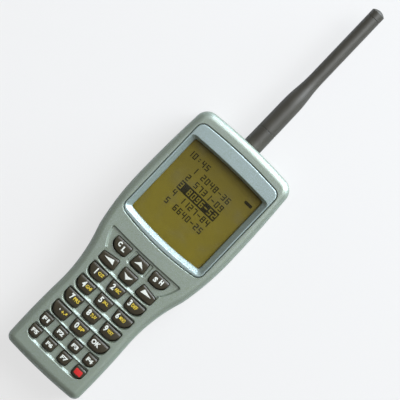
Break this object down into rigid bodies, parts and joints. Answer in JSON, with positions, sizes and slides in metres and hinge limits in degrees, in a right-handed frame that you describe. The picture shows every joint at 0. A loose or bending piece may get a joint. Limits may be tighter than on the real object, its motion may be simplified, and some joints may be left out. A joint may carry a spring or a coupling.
{
  "type": "portable barcode data terminal",
  "caption": "Hand-held data terminal with a wide head round a recessed display, stepped key troughs in the handle, a whip antenna and a hinged battery door.",
  "frame": {"origin": "middle of the whole length and width, on the surface that the terminal lies on", "axes": "+X to the right of the display, +Y from the foot of the handle to the antenna tip, +Z out of the display"},
  "size_m": [0.0818, 0.318, 0.0349],
  "materials": {
    "housing_grey": "moulded, satin, fine spark texture",
    "bezel_grey": "moulded, satin, smoother than the housing",
    "window_clear": "clear acrylic",
    "display_olive": "olive reflective display under a polariser",
    "light_guide": "white light guide",
    "mat_rubber": "grey silicone rubber",
    "board_green": "solder mask",
    "chip_black": "moulded package",
    "shield_steel": "tinned steel",
    "engine_black": "moulded",
    "scan_filter": "dark red filter",
    "jack_black": "moulded",
    "battery_black": "moulded",
    "contact_gold": "gilt spring bronze",
    "pin_steel": "ground",
    "screw_steel": "zinc plated",
    "brass": "turned",
    "antenna_rubber": "dull moulded rubber",
    "key_dark": "dark brown-black, satin"
  },
  "bodies": {
    "housing": {"front_housing": "housing_grey", "rear_housing": "housing_grey", "display_bezel": "bezel_grey", "window_lens": "window_clear", "lcd_module": "display_olive", "lcd_backlight": "light_guide", "keypad_mat": "mat_rubber", "main_board": "board_green", "processor": "chip_black", "memory_chips": "chip_black", "radio_module": "shield_steel", "backup_cell": "shield_steel", "buzzer": "chip_black", "scan_engine": "engine_black", "scan_window": "scan_filter", "data_port_jack": "jack_black", "battery_pack": "battery_black", "battery_contacts": "contact_gold", "door_hinge_pin": "pin_steel", "door_screw_insert": "brass", "housing_screws": "screw_steel", "board_screws": "screw_steel", "antenna_socket": "brass", "antenna_feed_clip": "contact_gold"},
    "door": {"battery_door": "housing_grey"},
    "coin_screw": {"door_screw": "screw_steel"},
    "antenna": {"antenna_whip": "antenna_rubber", "antenna_stud": "brass"},
    "key_soft_left_cap": {"key_soft_left": "key_dark"},
    "key_up_cap": {"key_up": "key_dark"},
    "key_soft_right_cap": {"key_soft_right": "key_dark"},
    "key_left_cap": {"key_left": "key_dark"},
    "key_down_cap": {"key_down": "key_dark"},
    "key_right_cap": {"key_right": "key_dark"},
    "key_1_cap": {"key_1": "key_dark"},
    "key_2_cap": {"key_2": "key_dark"},
    "key_3_cap": {"key_3": "key_dark"},
    "key_4_cap": {"key_4": "key_dark"},
    "key_5_cap": {"key_5": "key_dark"},
    "key_6_cap": {"key_6": "key_dark"},
    "key_7_cap": {"key_7": "key_dark"},
    "key_8_cap": {"key_8": "key_dark"},
    "key_9_cap": {"key_9": "key_dark"},
    "key_point_cap": {"key_point": "key_dark"},
    "key_0_cap": {"key_0": "key_dark"},
    "key_enter_cap": {"key_enter": "key_dark"},
    "key_f1_cap": {"key_f1": "key_dark"},
    "key_f2_cap": {"key_f2": "key_dark"},
    "key_f3_cap": {"key_f3": "key_dark"},
    "key_f4_cap": {"key_f4": "key_dark"},
    "key_f5_cap": {"key_f5": "key_dark"},
    "key_f6_cap": {"key_f6": "key_dark"},
    "key_f7_cap": {"key_f7": "key_dark"},
    "key_power_cap": {"key_power": "key_dark"}
  },
  "joints": [
    {"name": "door_hinge", "type": "hinge", "parent": "housing", "child": "door", "pos_m": [0, -0.063, 0.0026], "axis": [1, 0, 0], "range_deg": [0, 90]},
    {"name": "coin_screw_turn", "type": "hinge", "parent": "door", "child": "coin_screw", "pos_m": [0, -0.1394, 0.001], "axis": [0, 0, 1], "continuous": true},
    {"name": "antenna_turn", "type": "hinge", "parent": "housing", "child": "antenna", "pos_m": [0, 0.039, 0.02], "axis": [0, 1, 0], "continuous": true},
    {"name": "key_soft_left_press", "type": "slide", "parent": "housing", "child": "key_soft_left_cap", "axis": [0, 0, 1], "range_m": [-0.001, 0], "stiffness_N_per_m": 1200},
    {"name": "key_up_press", "type": "slide", "parent": "housing", "child": "key_up_cap", "axis": [0, 0, 1], "range_m": [-0.001, 0], "stiffness_N_per_m": 1200},
    {"name": "key_soft_right_press", "type": "slide", "parent": "housing", "child": "key_soft_right_cap", "axis": [0, 0, 1], "range_m": [-0.001, 0], "stiffness_N_per_m": 1200},
    {"name": "key_left_press", "type": "slide", "parent": "housing", "child": "key_left_cap", "axis": [0, 0, 1], "range_m": [-0.001, 0], "stiffness_N_per_m": 1200},
    {"name": "key_down_press", "type": "slide", "parent": "housing", "child": "key_down_cap", "axis": [0, 0, 1], "range_m": [-0.001, 0], "stiffness_N_per_m": 1200},
    {"name": "key_right_press", "type": "slide", "parent": "housing", "child": "key_right_cap", "axis": [0, 0, 1], "range_m": [-0.001, 0], "stiffness_N_per_m": 1200},
    {"name": "key_1_press", "type": "slide", "parent": "housing", "child": "key_1_cap", "axis": [0, 0, 1], "range_m": [-0.001, 0], "stiffness_N_per_m": 1200},
    {"name": "key_2_press", "type": "slide", "parent": "housing", "child": "key_2_cap", "axis": [0, 0, 1], "range_m": [-0.001, 0], "stiffness_N_per_m": 1200},
    {"name": "key_3_press", "type": "slide", "parent": "housing", "child": "key_3_cap", "axis": [0, 0, 1], "range_m": [-0.001, 0], "stiffness_N_per_m": 1200},
    {"name": "key_4_press", "type": "slide", "parent": "housing", "child": "key_4_cap", "axis": [0, 0, 1], "range_m": [-0.001, 0], "stiffness_N_per_m": 1200},
    {"name": "key_5_press", "type": "slide", "parent": "housing", "child": "key_5_cap", "axis": [0, 0, 1], "range_m": [-0.001, 0], "stiffness_N_per_m": 1200},
    {"name": "key_6_press", "type": "slide", "parent": "housing", "child": "key_6_cap", "axis": [0, 0, 1], "range_m": [-0.001, 0], "stiffness_N_per_m": 1200},
    {"name": "key_7_press", "type": "slide", "parent": "housing", "child": "key_7_cap", "axis": [0, 0, 1], "range_m": [-0.001, 0], "stiffness_N_per_m": 1200},
    {"name": "key_8_press", "type": "slide", "parent": "housing", "child": "key_8_cap", "axis": [0, 0, 1], "range_m": [-0.001, 0], "stiffness_N_per_m": 1200},
    {"name": "key_9_press", "type": "slide", "parent": "housing", "child": "key_9_cap", "axis": [0, 0, 1], "range_m": [-0.001, 0], "stiffness_N_per_m": 1200},
    {"name": "key_point_press", "type": "slide", "parent": "housing", "child": "key_point_cap", "axis": [0, 0, 1], "range_m": [-0.001, 0], "stiffness_N_per_m": 1200},
    {"name": "key_0_press", "type": "slide", "parent": "housing", "child": "key_0_cap", "axis": [0, 0, 1], "range_m": [-0.001, 0], "stiffness_N_per_m": 1200},
    {"name": "key_enter_press", "type": "slide", "parent": "housing", "child": "key_enter_cap", "axis": [0, 0, 1], "range_m": [-0.001, 0], "stiffness_N_per_m": 1200},
    {"name": "key_f1_press", "type": "slide", "parent": "housing", "child": "key_f1_cap", "axis": [0, 0, 1], "range_m": [-0.001, 0], "stiffness_N_per_m": 1200},
    {"name": "key_f2_press", "type": "slide", "parent": "housing", "child": "key_f2_cap", "axis": [0, 0, 1], "range_m": [-0.001, 0], "stiffness_N_per_m": 1200},
    {"name": "key_f3_press", "type": "slide", "parent": "housing", "child": "key_f3_cap", "axis": [0, 0, 1], "range_m": [-0.001, 0], "stiffness_N_per_m": 1200},
    {"name": "key_f4_press", "type": "slide", "parent": "housing", "child": "key_f4_cap", "axis": [0, 0, 1], "range_m": [-0.001, 0], "stiffness_N_per_m": 1200},
    {"name": "key_f5_press", "type": "slide", "parent": "housing", "child": "key_f5_cap", "axis": [0, 0, 1], "range_m": [-0.001, 0], "stiffness_N_per_m": 1200},
    {"name": "key_f6_press", "type": "slide", "parent": "housing", "child": "key_f6_cap", "axis": [0, 0, 1], "range_m": [-0.001, 0], "stiffness_N_per_m": 1200},
    {"name": "key_f7_press", "type": "slide", "parent": "housing", "child": "key_f7_cap", "axis": [0, 0, 1], "range_m": [-0.001, 0], "stiffness_N_per_m": 1200},
    {"name": "key_power_press", "type": "slide", "parent": "housing", "child": "key_power_cap", "axis": [0, 0, 1], "range_m": [-0.001, 0], "stiffness_N_per_m": 1200}
  ]
}
